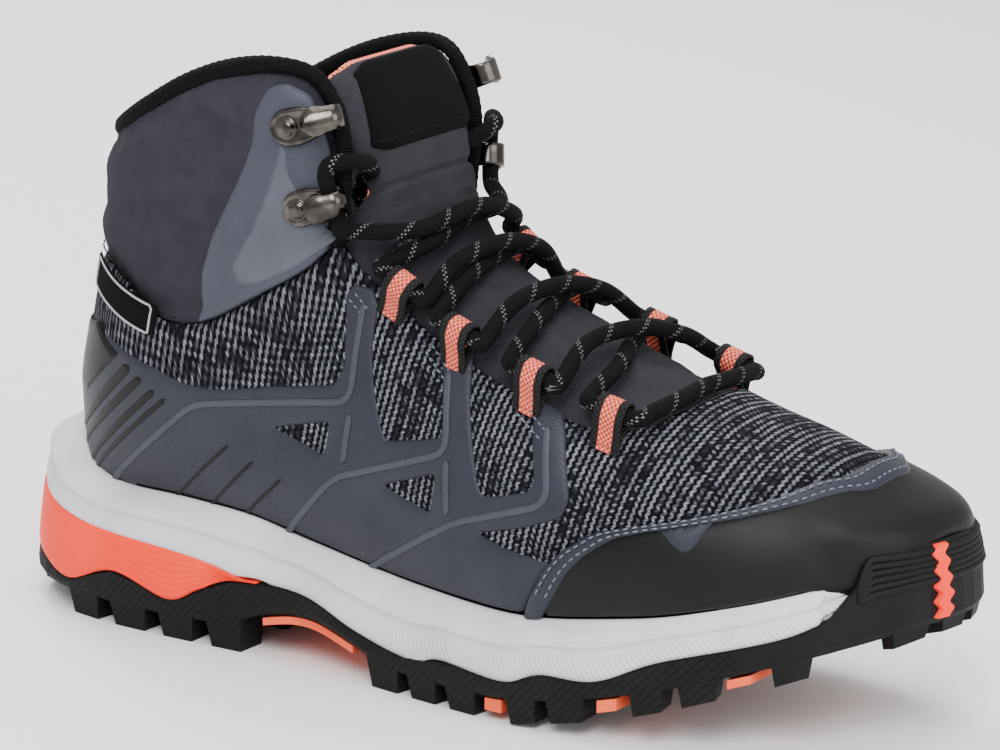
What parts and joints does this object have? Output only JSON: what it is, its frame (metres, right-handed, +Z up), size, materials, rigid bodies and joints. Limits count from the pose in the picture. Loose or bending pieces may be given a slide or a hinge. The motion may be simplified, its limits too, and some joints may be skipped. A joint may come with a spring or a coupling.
{
  "type": "hiking boot",
  "caption": "Right-foot mid-cut hiking boot: lugged rubber sole, foam midsole, knit upper with welded cage, laced throat with loops and hooks, hinged tongue.",
  "frame": {"origin": "bottom centre of the boot's box, on the ground under the lugs", "axes": "+X towards the toe, +Y towards the medial (inner) side, +Z up"},
  "size_m": [0.2962, 0.0979, 0.1709],
  "materials": {
    "aglet_black": "clear sleeve over black",
    "binding_black": "knitted tape",
    "board": "stiff fibre board",
    "braid_black": "braided, grey flecks",
    "cap_black": "coated, satin",
    "coral": "moulded, matt",
    "coral_plate": "moulded, matt",
    "film_pale": "welded film, satin",
    "film_slate": "welded film, satin",
    "foam_grey": "moulded foam, fine ribs",
    "footbed_cloth": "brushed",
    "knit": "two-tone knit",
    "lining": "brushed",
    "nickel": "dark nickel plate",
    "padding": "open-cell padding",
    "rubber_black": "moulded, matt",
    "softshell": "brushed stretch weave",
    "webbing_coral": "woven tape",
    "woven_black": "woven label"
  },
  "bodies": {
    "root": {"aglet_lateral": "aglet_black", "aglet_medial": "aglet_black", "arch_plate": "coral_plate", "cage_lateral": "film_slate", "cage_medial": "film_slate", "collar_binding": "binding_black", "collar_foam": "padding", "cuff": "softshell", "forefoot_insert_1": "coral", "forefoot_insert_2": "coral", "forefoot_insert_3": "coral", "heel_counter": "board", "heel_insert": "coral", "hook_facing_lateral": "film_pale", "hook_facing_medial": "film_pale", "hook_lateral_lower": "nickel", "hook_lateral_lower_rivet": "nickel", "hook_lateral_upper": "nickel", "hook_lateral_upper_rivet": "nickel", "hook_medial_lower": "nickel", "hook_medial_lower_rivet": "nickel", "hook_medial_upper": "nickel", "hook_medial_upper_rivet": "nickel", "insole_board": "board", "knit_upper": "knit", "lace_lateral": "braid_black", "lace_loop_lateral_1": "webbing_coral", "lace_loop_lateral_2": "webbing_coral", "lace_loop_lateral_3": "webbing_coral", "lace_loop_lateral_4": "webbing_coral", "lace_loop_medial_1": "webbing_coral", "lace_loop_medial_2": "webbing_coral", "lace_loop_medial_3": "webbing_coral", "lace_loop_medial_4": "webbing_coral", "lace_medial": "braid_black", "lining": "lining", "midsole": "foam_grey", "outsole": "rubber_black", "toe_cap": "cap_black", "toe_cap_trim": "film_slate", "toe_puff": "board", "toe_stripe": "coral", "tongue_lower": "softshell"},
    "tongue_top": {"tongue_top": "softshell", "tongue_patch": "woven_black", "tongue_lining": "webbing_coral"},
    "footbed": {"footbed": "footbed_cloth"},
    "side_tag": {"side_tag": "woven_black"}
  },
  "joints": [
    {"name": "tongue_flex", "type": "hinge", "parent": "root", "child": "tongue_top", "pos_m": [-0.01607, 0, 0.13629], "axis": [0, 1, 0], "range_deg": [-6, 12], "stiffness_Nm_per_rad": 0.06},
    {"name": "footbed_lift", "type": "hinge", "parent": "root", "child": "footbed", "pos_m": [0.1253, 0, 0.0404], "axis": [0, 1, 0], "range_deg": [0, 8]},
    {"name": "side_tag_flap", "type": "hinge", "parent": "root", "child": "side_tag", "pos_m": [-0.09566, -0.03392, 0.10217], "axis": [-0.8848, 0.3144, 0.3439], "range_deg": [0, 40], "stiffness_Nm_per_rad": 0.0015}
  ]
}
